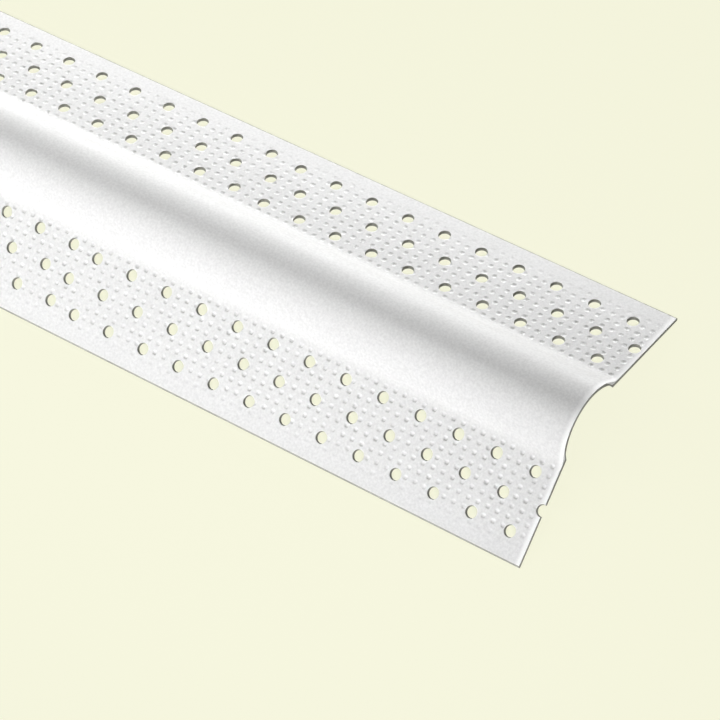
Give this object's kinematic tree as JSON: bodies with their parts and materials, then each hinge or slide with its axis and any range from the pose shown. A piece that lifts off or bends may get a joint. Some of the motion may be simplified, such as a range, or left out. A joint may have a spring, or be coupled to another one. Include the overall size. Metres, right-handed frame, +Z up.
{
  "type": "drywall corner bead",
  "caption": "Splayed bullnose corner bead: a white vinyl strip with a raised round nose between two perforated flanges, fixed over an obtuse drywall corner.",
  "frame": {"origin": "middle of the length and width, on the floor under the two flange edges", "axes": "+X along the strip towards the end seen in the picture, +Y across towards flange A, +Z up through the crown of the nose"},
  "size_m": [2.4384, 0.0832, 0.0216],
  "materials": {
    "vinyl": "satin"
  },
  "bodies": {
    "root": {"corner_bead": "vinyl"}
  },
  "joints": []
}
